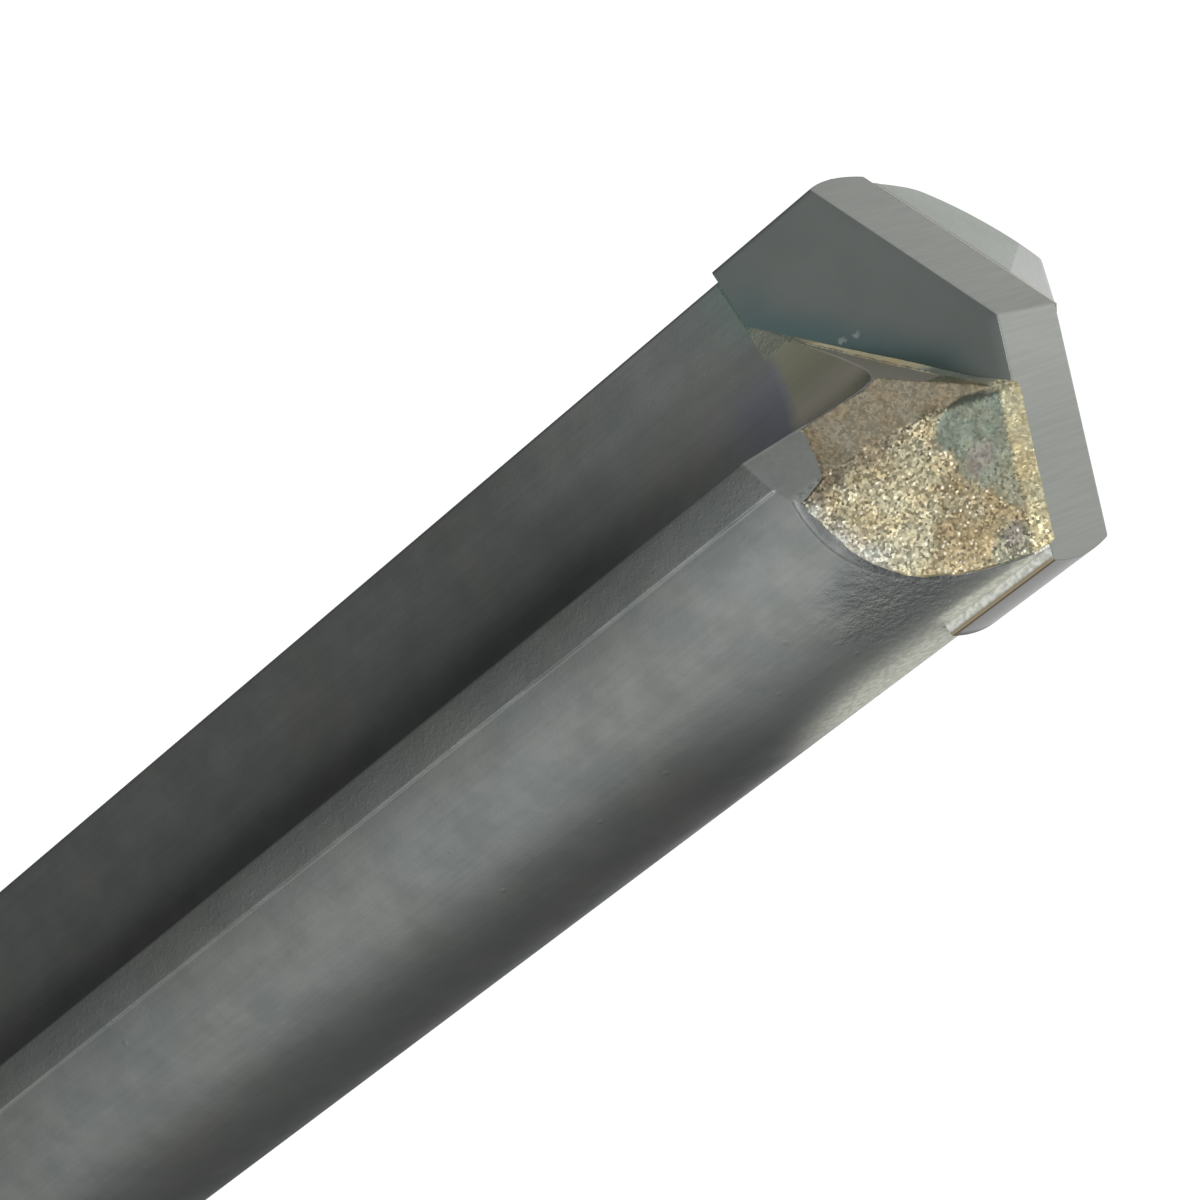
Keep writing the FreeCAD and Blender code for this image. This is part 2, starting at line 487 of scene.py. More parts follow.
def shank_profile():
    """Radius and height of the turned rings below the flutes, closer where the edges are softened."""
    thin, thick, chamfer, step = shank_radius, body_radius, shank_chamfer, shank_length + shoulder_height
    foot = [(thin - chamfer - 0.07, 0), (thin - chamfer, 0.03), (thin - 0.05, chamfer - 0.02)]
    foot += [(thin - 0.01, chamfer + 0.05), (thin, chamfer + 0.15)]
    straight = [(thin, z) for z in np.linspace(2, shank_length - 2, 18)]
    shoulder = [(thin, shank_length - 0.1), (thin + 0.02, shank_length), (thick - 0.03, step - 0.05)]
    shoulder += [(thick - 0.005, step + 0.03), (thick, step + 0.15), (thick, flute_start - 0.1)]
    return foot + straight + shoulder


def bar_rings():
    """Rings of points from the shank's end to the slot's floor. Each holds as many as the fluted outline."""
    heights = np.linspace(flute_start + 0.01, flute_full, RUN_OUT_RINGS)
    halves = [(z, half_section(z)) for z in heights]
    sections = [(z, both_halves(half[0])) for z, half in halves if half]
    first_height, first = sections[0]
    spread = first / np.hypot(first[:, 0], first[:, 1])[:, None]
    fluted = np.linspace(flute_full + 1, head_rings_start - 1, FLUTE_RINGS)
    head = np.linspace(head_rings_start, slot_bottom, HEAD_RINGS)
    turned_rings = shank_profile() + [(body_radius, first_height - 0.08)]
    levels = [(z, spread * radius) for radius, z in turned_rings] + sections
    levels += [(z, both_halves(half_outline)) for z in (*fluted, *head)]
    return np.array([np.column_stack([section, np.full(len(section), float(z))]) for z, section in levels])


def steel_body():
    """The whole steel bar: rings up to the slot's floor, and the two lands beside the slot."""
    rings = bar_rings()
    bar_points = rings.reshape(-1, 3)
    bar_quads = grid_faces(len(rings), rings.shape[1], True)
    near = land_rows(near_land_top)
    far = land_rows(lambda x, y: far_land_top(-x, -y)) * np.array([-1, -1, 1])
    count = near.shape[1]
    near_start = len(bar_points)
    far_start = near_start + near.size // 3
    points = np.concatenate([bar_points, near.reshape(-1, 3), far.reshape(-1, 3)])
    land_quads = grid_faces(len(near), count)
    quads = np.concatenate([bar_quads, land_quads + near_start, land_quads + far_start])

    half = len(half_outline)
    crown = (len(rings) - 1) * 2 * half
    near_foot = near_start + np.arange(count)
    far_foot = far_start + np.arange(count)
    to_far = crown + np.arange(slot_last + 1, half + slot_first)
    to_near = crown + np.arange(half + slot_last + 1, 2 * half + slot_first) % (2 * half)
    slot_floor = np.concatenate([near_foot, to_far, far_foot, to_near])
    bottom = np.arange(2 * half)[::-1]
    return make_mesh("steel_body", points, quads, [slot_floor, bottom])


def plate_outline():
    """Half of the plate's outline seen along the axis, from the middle of one end to that of the other."""
    last_angle = math.pi + math.asin(half_plate / cut_radius) - plate_corner / cut_radius
    end = arc_points((0, 0), cut_radius, math.pi, last_angle, PLATE_END_POINTS)
    inner_x = corner_x - plate_corner
    corner = np.array([-corner_x, -half_plate])
    after = np.array([-inner_x, -half_plate])
    left = np.concatenate([end, rounded_corner(end[-1], corner, after, CORNER_POINTS)])
    side_x = np.linspace(-inner_x, inner_x, PLATE_SIDE_POINTS)
    side = np.column_stack([side_x, np.full(PLATE_SIDE_POINTS, -half_plate)])
    return np.concatenate([left, side, (left * np.array([-1, 1]))[::-1]])


def hard_plate():
    """The plate: straight walls from its hidden bottom up to the two flanks."""
    low = plate_outline()
    high = low * np.array([1, -1])
    middle = np.column_stack([low[:, 0] * 0.98, np.zeros(len(low))])
    rows = column_rows(low, high, inward(low, middle), inward(high, middle), plate_bottom,
                       lambda x, y: point_top(x, y, plate_blend), plate_edge, PLATE_ROWS, PLATE_WALL_ROWS)
    count = rows.shape[1]
    last = (len(rows) - 1) * count
    bottom = np.concatenate([np.arange(count), last + np.arange(count)[::-1][1:-1]])
    quads = grid_faces(len(rows), count)
    return make_mesh("hard_plate", rows.reshape(-1, 3), quads, [bottom], sharp=60.0)


# Braze that ran over the near land, in pairs of X and Y or of X and a size
bare_border = [(-0.5, -3.86), (-0.1, -3.86), (0.8, -4.1), (1.0, -4.4), (1.1, -5.0)]
bead_widths = [(-3.0, 0.03), (-2.4, 0.06), (-0.6, 0.16), (0.2, 0.17), (0.9, 0.16), (1.3, 0.205), (3.7, 0.20)]
bead_heights = [(-3.0, 0.03), (-2.4, 0.06), (-0.6, 0.12), (0.6, 0.10), (1.2, 0.24)]
bare_rims = [(0.9, 0), (1.1, 0.06), (1.55, 0.13), (1.95, 0.13), (2.31, 0.11), (2.71, 0.08)]
bare_rims += [(3.07, 0.05), (3.37, 0.02), (3.64, 0)]


def flute_distance(x, y):
    """How far a point of the near land lies from the near flute: from its wall, its corner or its hollow."""
    from_corner = np.hypot(x - corner_centre[0], y - corner_centre[1]) - flute_corner_radius
    from_floor = np.hypot(x - floor_centre[0], y - floor_centre[1]) - flute_floor_radius
    turn = np.arctan2(y - corner_centre[1], x - corner_centre[0])
    beyond = np.where(turn > flute_blend, from_floor, from_corner)
    return np.where(y < corner_centre[1], x + flute_wall, beyond)


def bare_steel(x, y):
    """1 on the outer part of the side facet, where no braze ran."""
    return 1 - ramp(-0.03, 0.05, y - read_off(x, bare_border) + ragged(x, y, 4.0, 3, 0.04))


def bead_width(x, y):
    """Width of the braze's bead along the plate: thin at the far left, wider to the right."""
    return read_off(x, bead_widths) + ragged(x, y, 3.0, 41, 0.008)


def coat_thickness(x, y):
    """Thickness of the braze over the facets: lumps, a bead along the plate, none on bare steel."""
    lumps = coat_film + ragged(x, y, 2.2, 21, 0.008) + ragged(x, y, 9.0, 31, 0.003)
    away = -half_plate - y
    wide = bead_width(x, y)
    slope = np.clip(1 - away / wide, 0, 1) ** 1.15
    bead = slope * read_off(x, bead_heights) * (1 + ragged(x, y, 3.4, 51, 0.08))
    rim = np.minimum(body_radius - np.hypot(x, y), flute_distance(x, y))
    shoulder = np.clip(steel_edge - rim, 0, steel_edge)
    rounded = steel_edge - np.sqrt(steel_edge**2 - shoulder**2)
    open_gash = ramp(0.0, 0.05, side_facet(x, y) - near_gash(x, y)) * fall(0.0, 0.4, x)
    open_gash = open_gash * ramp(0.0, 0.05, away - wide)
    covered = ramp(0.015, 0.08, rim - read_off(x, bare_rims) + ragged(x, y, 5.0, 61, 0.02))
    covered = covered * (1 - bare_steel(x, y)) * (1 - open_gash)
    return (lumps + bead + coat_dip) * covered - coat_dip - rounded


def braze_coat():
    """Braze that ran over the near land's facets, as a shell whose underside is sunk in the steel.

    Each column is straight, from a point along the plate to just inside the land's outline.
    """
    start = slot_partner(land_path)
    outline = land_path + inward(land_path, start) * coat_inset
    start[:, 1] = -half_plate - coat_clearance
    index = np.arange(len(land_path))
    finer = np.linspace(0, index[-1], COAT_FINENESS * len(index))
    start, outline = resample(start, index, finer), resample(outline, index, finer)
    share = np.linspace(0, 1, COAT_ROWS)[:, None] ** 1.1
    x = start[:, 0] + share * (outline[:, 0] - start[:, 0])
    y = start[:, 1] + share * (outline[:, 1] - start[:, 1])
    steel = near_land_top(x, y)
    top = np.stack([x, y, steel + coat_thickness(x, y)], -1)
    under = np.stack([x, y, steel - coat_depth], -1)
    rows = np.concatenate([under[:1], top, under[-1:], under[:1]])
    columns = rows.shape[1]
    first_end = np.arange(len(rows) - 1) * columns
    quads = grid_faces(len(rows), columns)
    ends = [first_end, first_end + columns - 1]
    return make_mesh("braze_coat", rows.reshape(-1, 3), quads, ends, weld=0.0002, sharp=60.0)


# Materials


class Finish:
    """A material and short calls that add its nodes. Places are in millimetres."""

    def __init__(self, name):
        self.material = bpy.data.materials.new(name)
        self.material.use_nodes = True
        self.tree = self.material.node_tree
        self.tree.nodes.clear()
        coordinates = self.tree.nodes.new("ShaderNodeTexCoord").outputs["Object"]
        self.place = self.vector("MULTIPLY", coordinates, (1 / MM,) * 3)

    def node(self, kind, inputs=(), output=0, **settings):
        """One output of a new node, whose inputs are linked or set."""
        node = self.tree.nodes.new("ShaderNode" + kind)
        for key, value in settings.items():
            setattr(node, key, value)
        for key, value in dict(inputs).items():
            if isinstance(value, bpy.types.NodeSocket):
                self.tree.links.new(value, node.inputs[key])
            else:
                node.inputs[key].default_value = value
        return node.outputs[output]

    def product(self, first, second):
        return self.math("MULTIPLY", first, second)

    def vector(self, operation, first, second=(0, 0, 0), output=0):
        return self.node("VectorMath", {0: first, 1: second}, output, operation=operation)

    def axis(self, vector, index):
        return self.node("SeparateXYZ", {0: vector}, index)

    def noise(self, scale, detail=2.0, factors=None, roughness=0.5):
        vector = self.vector("MULTIPLY", self.place, factors) if factors else self.place
        values = {"Vector": vector, "Scale": scale, "Detail": detail, "Roughness": roughness}
        return self.node("TexNoise", values)

    def cells(self, scale, output=0):
        """Distance to the nearest scattered point, or with output 1 a colour for each."""
        return self.node("TexVoronoi", {"Vector": self.place, "Scale": scale}, output)

    def math(self, operation, first, second=0.0, clamp=False):
        return self.node("Math", {0: first, 1: second}, operation=operation, use_clamp=clamp)

    def span(self, value, low, high, to_low=0.0, to_high=1.0):
        """A value carried smoothly from low..high to another span and held at its ends."""
        inputs = {"Value": value, 1: low, 2: high, 3: to_low, 4: to_high}
        return self.node("MapRange", inputs, interpolation_type="SMOOTHSTEP")

    def painted(self, name):
        return self.node("Attribute", output=2, attribute_name=name)

    def mix(self, share, first, second):
        colours = [(*c, 1.0) if isinstance(c, tuple) else c for c in (first, second)]
        return self.node("Mix", {0: share, 6: colours[0], 7: colours[1]}, 2, data_type="RGBA")

    def shade(self, colour, value):
        return self.node("VectorMath", {0: colour, "Scale": value}, operation="SCALE")

    def tinted(self, colour, **tints):
        """The colour turned to others, each where the mask of its name is painted."""
        for name, tint in tints.items():
            colour = self.mix(self.painted(name), colour, tint)
        return colour

    def toned(self, colour):
        """The colour made lighter or darker by the painted shading."""
        return self.shade(colour, self.product(self.painted("tone"), highest_tone))

    def distance_from(self, x, y, z):
        """Distance from a place, counted less along Z, so that a spot of this distance is upright."""
        squash = 0.55
        squashed = self.vector("MULTIPLY", self.place, (1.0, 1.0, squash))
        return self.vector("DISTANCE", squashed, (x, y, z * squash), 1)

    def bump(self, height, distance, strength=1.0, normal=None):
        inputs = {"Height": height, "Distance": distance * MM, "Strength": strength}
        if normal is not None:
            inputs["Normal"] = normal
        return self.node("Bump", inputs)

    def end(self, surface):
        output = self.tree.nodes.new("ShaderNodeOutputMaterial")
        self.tree.links.new(surface, output.inputs["Surface"])
        return self.material

    def metal(self, colour, roughness, normal, metallic=1.0):
        """Ends the material as a metal, or partly as a dull film."""
        inputs = {"Base Color": colour, "Metallic": metallic, "Roughness": roughness, "Normal": normal}
        return self.end(self.node("BsdfPrincipled", inputs))


def steel_finish():
    """Hardened steel: dull dark grey, mottled, with heat colours near the brazed head, painted shading, and
    a pale braze smear with a painted sheen.
    """
    f = Finish("hardened steel")
    mottle = f.noise(0.9, 4.0, roughness=0.55)
    grain = f.noise(16.0, 3.0, roughness=0.6)
    drawn = f.noise(9.0, 2.0, factors=(1.0, 1.0, 0.03))
    colour = f.mix(f.span(mottle, 0.3, 0.7), (0.248, 0.264, 0.258), (0.292, 0.303, 0.294))
    tinge = f.mix(f.span(f.noise(0.32), 0.38, 0.62), (0.982, 1.0, 1.008), (1.012, 1.003, 0.982))
    colour = f.vector("MULTIPLY", colour, tinge)
    colour = f.tinted(colour, teal=(0.235, 0.30, 0.28), purple=(0.28, 0.288, 0.33),
                      olive=(0.30, 0.305, 0.225), russet=(0.37, 0.345, 0.295),
                      ground=(0.505, 0.54, 0.495), honed=(0.64, 0.655, 0.63))
    colour = f.shade(f.toned(colour), f.span(drawn, 0.3, 0.7, 0.97, 1.03))
    # A pale smear of braze beside the slot and a painted sheen down the side, both as a dull pale film.
    residue = f.painted("residue")
    film = f.mix(f.span(f.noise(7.0, 3.0), 0.35, 0.65), (0.56, 0.575, 0.475), (0.80, 0.81, 0.69))
    colour = f.mix(residue, colour, film)
    roughness = f.span(mottle, 0.3, 0.7, 0.42, 0.35)
    fine_pits = f.span(f.noise(9.0, 3.0, roughness=0.7), 0.50, 0.68)
    pitted = f.product(f.math("ADD", fine_pits, f.span(f.noise(2.0), 0.3, 0.7)), f.painted("pitted"))
    bumps = f.product(f.span(f.cells(0.75), 0.03, 0.075, 1.0, 0.0), f.painted("land"))
    scale = f.product(f.noise(5.0, 4.0, roughness=0.7), f.painted("rough"))
    normal = f.bump(mottle, 0.02, 0.6)
    normal = f.bump(grain, 0.004, normal=normal)
    normal = f.bump(pitted, 0.0035, normal=normal)
    normal = f.bump(bumps, 0.006, normal=normal)
    normal = f.bump(scale, 0.10, normal=normal)
    film_share = f.math("MAXIMUM", residue, f.painted("dull"))
    return f.metal(colour, roughness, normal, f.math("SUBTRACT", 1.0, film_share))


# Centres of two flecks of braze left on the near rake face
rake_flecks = [(-1.79, -half_plate, corner_z - 1.43), (-1.69, -half_plate, corner_z - 1.06)]


def carbide_finish():
    """Sintered carbide: dark smooth rake faces with heat colours below, and lighter ground flanks, with
    painted shading, a painted sheen near the outer corner and painted glare on the end faces.
    """
    f = Finish("sintered carbide")
    face = f.mix(f.span(f.noise(0.7, 3.0), 0.3, 0.7), (0.265, 0.295, 0.28), (0.288, 0.312, 0.297))
    face = f.tinted(face, warmed=(0.165, 0.25, 0.25))
    marks = f.noise(14.0, factors=(1.0, 0.02, 1.0))
    ground = f.mix(f.span(marks, 0.35, 0.65), (0.328, 0.344, 0.318), (0.345, 0.36, 0.333))
    colour = f.toned(f.tinted(face, ground=ground))
    # Near white on the end faces is painted glare.
    colour = f.tinted(colour, polished=(0.86, 0.87, 0.85), stain=(0.40, 0.33, 0.21))
    fleck_distance = f.math("MINIMUM", *[f.distance_from(*centre) for centre in rake_flecks])
    fleck_distance = f.math("ADD", fleck_distance, f.span(f.noise(9.0), 0.3, 0.7, -0.04, 0.04))
    colour = f.mix(f.span(fleck_distance, 0.02, 0.08, 0.6, 0.0), colour, (0.55, 0.60, 0.56))
    # A painted sheen, as a dull pale film, on the near face's outer strip.
    residue = f.painted("residue")
    film = f.mix(f.span(f.noise(8.0, 3.0), 0.35, 0.65), (0.62, 0.63, 0.56), (0.93, 0.93, 0.88))
    colour = f.mix(residue, colour, film)
    roughness = f.span(marks, 0.3, 0.7, 0.37, 0.34)
    normal = f.bump(f.noise(30.0), 0.002)
    normal = f.bump(f.product(marks, f.painted("ground")), 0.0022, normal=normal)
    return f.metal(colour, roughness, normal, f.math("SUBTRACT", 1.0, residue))


def tilted_grains(f, scale, tilt):
    """The surface normal tipped a little another way in each grain, so that the grains sparkle softly."""
    centred = f.vector("SUBTRACT", f.cells(scale, 1), (0.5, 0.5, 0.5))
    straight = f.node("NewGeometry", output=1)
    return f.vector("NORMALIZE", f.vector("ADD", straight, f.shade(centred, tilt)))


def coat_finish():
    """Braze alloy run out over the facets: bright gold grains, brown and blue-green where heated, with
    painted shading and painted glints.
    """
    f = Finish("braze coat")
    grains = 17.0
    colour = f.tinted((0.50, 0.437, 0.315), gold=(0.335, 0.302, 0.204), ochre=(0.25, 0.208, 0.13),
                      silver=(0.42, 0.415, 0.365), patch=(0.133, 0.149, 0.119), rosy=(0.20, 0.16, 0.145),
                      bead=(0.53, 0.48, 0.31), line=(0.74, 0.66, 0.43), lip=(0.31, 0.34, 0.29))
    sparkle = f.painted("sparkle")
    speck = f.span(f.axis(f.cells(grains, 1), 0), 0.0, 1.0, -0.26, 0.26)
    colour = f.shade(f.toned(colour), f.math("ADD", 1.0, f.product(speck, sparkle)))
    drift = f.span(f.noise(1.6, 3.0, roughness=0.6), 0.32, 0.68)
    warm = f.vector("MULTIPLY", colour, (1.06, 0.995, 0.91))
    cool = f.vector("MULTIPLY", colour, (0.955, 1.01, 1.06))
    colour = f.mix(drift, warm, cool)
    # Pale specks are painted glints.
    pale = f.product(f.span(f.cells(7.5), 0.14, 0.30, 1.0, 0.0), f.painted("flecks"))
    colour = f.mix(pale, colour, (0.86, 0.82, 0.66))
    dark = f.product(f.span(f.cells(6.3), 0.12, 0.24, 0.4, 0.0), sparkle)
    colour = f.mix(dark, colour, (0.13, 0.115, 0.075))
    roughness = f.span(f.noise(3.0, 3.0), 0.3, 0.7, 0.44, 0.34)
    normal = tilted_grains(f, grains, f.span(sparkle, 0.0, 1.0, 0.10, 0.38))
    return f.metal(colour, roughness, normal, f.math("SUBTRACT", 1.0, f.painted("dull")))


def joint_finish():
    """Braze in the slot: gold where it shows, olive and blue-green where the film is thin and was heated."""
    f = Finish("braze joint")
    x, y = f.axis(f.place, 0), f.axis(f.place, 1)
    patches = f.noise(1.3, 4.0, roughness=0.6)
    gold = f.mix(f.span(patches, 0.35, 0.65), (0.60, 0.52, 0.32), (0.72, 0.64, 0.43))
    low = f.mix(f.span(x, -3.5, -3.1), (0.20, 0.28, 0.245), (0.41, 0.445, 0.36))
    line = f.product(f.span(x, -2.6, -2.1), f.span(y, -1.32, -1.25))
    colour = f.mix(line, low, (0.96, 0.84, 0.52))
    colour = f.mix(f.span(x, 0.2, 1.2), colour, gold)
    # Pale at the outer end: a painted sheen, like that on the plate's strip beside it.
    colour = f.mix(f.span(x, 4.3, 4.5), colour, (0.78, 0.78, 0.72))
    colour = f.mix(f.span(y, 0.9, 1.2), colour, (0.60, 0.58, 0.50))
    return f.metal(colour, 0.36, f.bump(f.noise(13.0, 3.0, roughness=0.6), 0.02))


# Masks painted into attributes, worked out from the place of each vertex


def vertex_places(piece):
    """The vertices in millimetres and their normals."""
    count = len(piece.data.vertices)
    places = np.empty(count * 3, np.float32)
    normals = np.empty(count * 3, np.float32)
    piece.data.vertices.foreach_get("co", places)
    piece.data.vertex_normals.foreach_get("vector", normals)
    return places.reshape(-1, 3).astype(float) / MM, normals.reshape(-1, 3).astype(float)


def paint(piece, **masks):
    """Stores masks, one number a vertex, under the names that the material reads."""
    for name, values in masks.items():
        attribute = piece.data.attributes.new(name, "FLOAT", "POINT")
        attribute.data.foreach_set("value", np.clip(values, 0, 1).astype(np.float32))


def spot(x, y, at_x, at_y, wide, high, soft=0.25, border=0.0):
    """1 inside an ellipse and 0 outside, with a soft ragged border."""
    distance = np.hypot((x - at_x) / wide, (y - at_y) / high)
    return 1 - ramp(1 - soft, 1 + soft, distance + border)


# Borders of the coat's colours, as pairs of Y and X for gold and ochre and of X and Y for the patch
gold_border = [(-4.6, 1.3), (-4.3, 1.22), (-3.67, 1.08), (-3.04, 1.08)]
gold_border += [(-2.65, 0.93), (-2.43, 0.75), (-2.1, 0.9), (-1.2, 1.5)]
ochre_border = [(-3.0, 3.9), (-2.77, 3.2), (-2.6, 2.75), (-2.5, 2.3), (-2.3, 1.9), (-1.2, 1.9)]
patch_border = [(0.6, -1.7), (0.84, -1.94), (1.08, -2.32), (1.48, -2.40)]
patch_border += [(1.9, -2.30), (2.45, -2.06), (3.23, -1.70), (3.97, -1.2)]


def paint_coat(piece):
    """Where the coat is gold, ochre, silvery, blue-green, rosy or a bead, following the photo's borders."""
    x, y = vertex_places(piece)[0].T[:2]
    edge = ragged(x, y, 3.0, 71, 0.10)
    fine = ragged(x, y, 8.0, 81, 0.05)
    rim = body_radius - np.hypot(x, y)
    gold = ramp(-0.06, 0.07, x - read_off(y, gold_border) + edge)
    ochre = 0.85 * ramp(-0.15, 0.3, x - read_off(y, ochre_border) + 1.5 * edge)
    upper_gold = 0.35 * spot(x, y, 1.35, -3.2, 0.5, 0.5, 0.7)
    silver = fall(0.1, 0.55, rim + edge) * ramp(1.0, 1.3, x) * fall(2.6, 3.4, x)
    paint(piece, gold=gold, ochre=np.maximum(upper_gold, ochre), silver=silver)

    right_of_ridge = x - 0.72 - 0.553 * (y + 2.17)
    above_border = y - read_off(x, patch_border)
    patch = ramp(-0.04, 0.1, right_of_ridge + edge + fine)
    patch = patch * ramp(-0.04, 0.1, above_border + edge + fine) * (1 - 0.25 * ramp(2.2, 3.0, x))
    second_patch = spot(x, y, 4.2, -1.66, 0.5, 0.29, 0.2, edge + fine)
    first_rosy = spot(x, y, 2.2, -1.84, 0.26, 0.2, 0.5, 2 * edge)
    second_rosy = spot(x, y, 3.98, -1.6, 0.28, 0.13, 0.5, 2 * edge)
    rosy = 0.55 * np.maximum(first_rosy, second_rosy)
    paint(piece, patch=np.maximum(patch, 0.65 * second_patch), rosy=rosy)

    away = -half_plate - y
    near_plate = 1 - ramp(0.75, 1.05, (away + fine * 0.3) / bead_width(x, y))
    past_line = ramp(-0.35, 0.0, x + edge)
    past_lip = ramp(0.9, 1.1, x)
    bead = near_plate * past_lip
    line = near_plate * (1 - past_line)
    lip = near_plate * past_line * (1 - past_lip)
    paint(piece, bead=bead, line=line, lip=lip, dull=0.5 * line + 0.4 * lip)

    on_gash = near_gash(x, y) < np.minimum(side_facet(x, y), wheel_facet(x, y))
    hollow = ramp(-0.02, 0.02, side_facet(x, y) - wheel_facet(x, y)) * (1 - patch) * (1 - bead)
    low_edge = fall(0.2, 0.9, rim + edge) * ramp(3.0, 3.6, x)
    fringe = fall(0.0, 0.3, y + 3.86 + edge) * (x < 1.1)
    # Painted light and shade: the bead, the gash and the lower edge lighter, the wheel facet darker outside
    # the gold, and a lighter spot; the coat is also darker near the bare border.
    tone = 1 + bead * read_off(x, [(1, 0.2), (3, 0.1)]) + 0.7 * on_gash * (1 - line) * (1 - lip)
    tone = tone * (1 - 0.62 * (1 - gold) * hollow)
    tone = tone * (1 + 0.3 * low_edge) * (1 + 0.25 * spot(x, y, 2.3, -3.3, 0.9, 0.6, 0.7))
    paint(piece, tone=tone * (1 - 0.22 * fringe) / highest_tone)

    # The pale specks are painted glints, over the gold, the bead and the silvery rim and along the ridge.
    sparkle = (0.5 + 0.5 * np.maximum(gold, bead)) * (1 - 0.65 * patch) * (1 - np.maximum(line, lip))
    ridge = fall(0.05, 0.3, flute_distance(x, y) + edge) * ramp(-3.0, -2.5, y)
    flecks = np.maximum(0.6 * sparkle + 0.3 * silver, 0.9 * ridge * (1 - on_gash)) * (1 - 0.85 * patch)
    paint(piece, sparkle=sparkle, flecks=flecks)


def flute_tone(across, level):
    """Painted shade in the flutes: darkest low down beside the wall, and lighter towards the head."""
    head_end = ramp(-3.5, -2.9, level)
    inner = 0.48 + 0.72 * ramp(-11.0, -4.4, level) + 0.75 * head_end
    middle = 0.90 + 0.63 * ramp(-11.2, -4.8, level) + 0.42 * head_end
    outer = 0.74 + 0.45 * ramp(-13.0, -5.0, level)
    tone = outer + (middle - outer) * ramp(-3.5, -2.2, across)
    return tone + (inner - middle) * ramp(-2.3, -1.1, across)


def land_tone(angle, level, rough):
    """Painted light and shade on the lands: lighter at the head, darker where it is rough, and a painted
    shade round the side low down.
    """
    tone = 1.04 + 0.18 * ramp(-8.0, -3.8, level)
    side = ramp(-56, -36, angle) * fall(100, 170, angle)
    return tone * (1 - 0.15 * rough) * (1 - 0.28 * side * fall(-10, -7, level))


def pale_film(angle, level, uneven):
    """Pale paint by angle and level: a band of braze smear beside the slot, and a painted sheen that fades
    down the side.
    """
    band = ramp(-25, -19, angle + 18 * uneven) * fall(-10, -8, angle)
    band = band * ramp(-3.6, -2.6, level + 2 * uneven)
    haze = ramp(-36, -9, angle) ** 1.6 * fall(8, 16, angle)
    haze_end = -6 - 0.1 * np.clip(angle + 30, 0, 26)
    haze = haze * ramp(haze_end - 1.6, haze_end + 1.6, level + uneven)
    return np.maximum(band, haze)


def paint_steel(piece):
    """Ground, pitted and heat-tinted parts of the steel, with painted shading, painted highlights along the
    margin and ridge, and a pale smear with a painted sheen.
    """
    places, normals = vertex_places(piece)
    x, y, z = places.T
    level = z - corner_z
    radius = np.hypot(x, y)
    angle = np.degrees(np.arctan2(y, x))
    near = y < 0
    turned_x = np.where(near, x, -x)
    in_head = z > slot_bottom + 0.05
    on_top = ramp(0.15, 0.4, normals[:, 2]) * in_head
    far_top = on_top * (y > 0)
    paint(piece, ground=far_top, honed=far_top * (honed_facet(x, y) - near_flank(x, y) < 0.03))

    side, wheel = side_facet(x, y), wheel_facet(x, y)
    in_flute = (radius < body_radius - 0.03) & (turned_x < -flute_wall + 0.02) & (z > flute_start)
    in_flute = in_flute & (on_top < 0.5)
    on_gash = (on_top > 0.5) & near & (near_gash(x, y) < np.minimum(side, wheel)) & (x < 0.9)
    on_wheel = (on_top > 0.5) & near & (wheel < side)
    uneven = ragged(x, level, 1.6, 91, 0.12)
    head_end = ramp(-3.3, -2.9, level)
    olive = (in_flute | on_gash) * ramp(-3.3, -2.9, level + uneven) * ramp(-3.0, -2.6, turned_x)
    russet = (in_flute | on_gash) * near * head_end * spot(x, y, -0.75, -1.9, 0.55, 0.5, 0.5, uneven)
    purple = in_flute * ramp(-5.4, -3.9, level + uneven) * ramp(-2.7, -1.7, turned_x)
    teal = in_flute * ramp(-4.6, -3.0, level + uneven) * fall(-3.5, -2.7, turned_x)
    russet = np.maximum(0.8 * russet, on_gash * ramp(-2.2, -1.4, x))
    paint(piece, teal=teal, olive=olive, purple=purple, russet=russet, dull=0.55 * on_gash)

    rough = spot(angle, level, -38, -2.7, 19, 1.35, 0.45, 2 * uneven) * near
    land = land_tone(angle, level, rough)
    # Painted light and shade on the head's facets: the gash and the other facets lighter, the wheel facet
    # darker.
    near_facets = np.where(on_gash, 1.15, np.where(on_wheel, 0.55, 1.22))
    facet_share = ramp(0.05, 0.42, normals[:, 2]) * in_head
    land = land + (np.where(near, near_facets, 1.0) - land) * facet_share
    tone = np.where(in_flute, flute_tone(turned_x, level), land)
    margin = radius > body_radius + 0.02
    # Painted highlights: a line along the margin's step, broken along its length, and one along the ridge's
    # top.
    off_step = math.sqrt(2) * np.abs(radius - body_radius - 0.032) / 0.016
    worn = fall(0.6, 1.4, off_step) * (turned_x > 0) * (z < side - 0.08)
    worn = worn * ramp(-0.5, 0.3, ragged(np.zeros_like(level), level, 0.9, 101, 1.0))
    ridge_line = near * (y < -3.7) * (flute_distance(x, y) < 0.06) * (z > side - 0.08)
    tone = tone * (1 - 0.2 * margin) * (1 + 0.9 * worn) * (1 + 0.4 * ridge_line)
    plain_land = near * (np.abs(radius - body_radius) < 0.02) * (on_top < 0.5)
    paint(piece, tone=tone / highest_tone, pitted=margin, land=plain_land, rough=rough)
    on_land = (np.abs(angle + 40) < 57) * (radius > body_radius - 0.06) * (on_top < 0.7)
    paint(piece, residue=pale_film(angle, level, uneven) * on_land)


